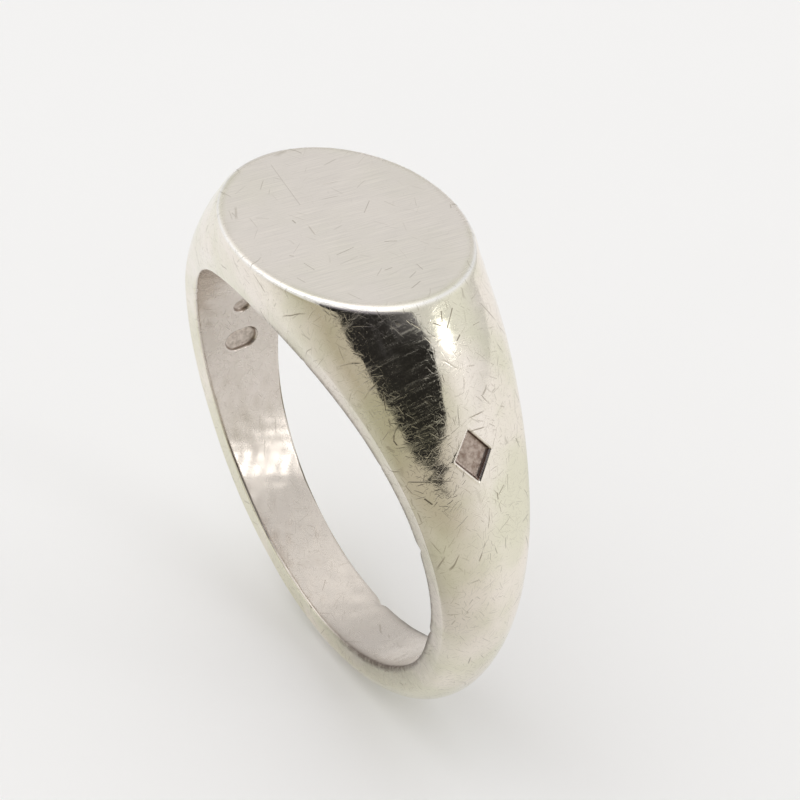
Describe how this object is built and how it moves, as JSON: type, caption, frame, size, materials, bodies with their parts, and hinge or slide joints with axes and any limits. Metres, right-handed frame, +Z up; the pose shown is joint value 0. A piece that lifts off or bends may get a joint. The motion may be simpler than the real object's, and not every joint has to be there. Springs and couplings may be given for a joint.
{
  "type": "signet ring",
  "caption": "Finger ring with a flat oval table on heavy shoulders that taper into a slim soldered shank; the table is plain, ready for engraving.",
  "frame": {"origin": "centre of the finger bore", "axes": "+Y along the finger bore, +Z up through the middle of the flat table"},
  "size_m": [0.0212, 0.009, 0.0223],
  "materials": {
    "head_silver": "satin table, worn polish elsewhere",
    "shank_silver": "worn polish",
    "silver_solder": "worn polish"
  },
  "bodies": {
    "root": {"signet_head": "head_silver", "shank": "shank_silver", "solder_joints": "silver_solder"}
  },
  "joints": []
}
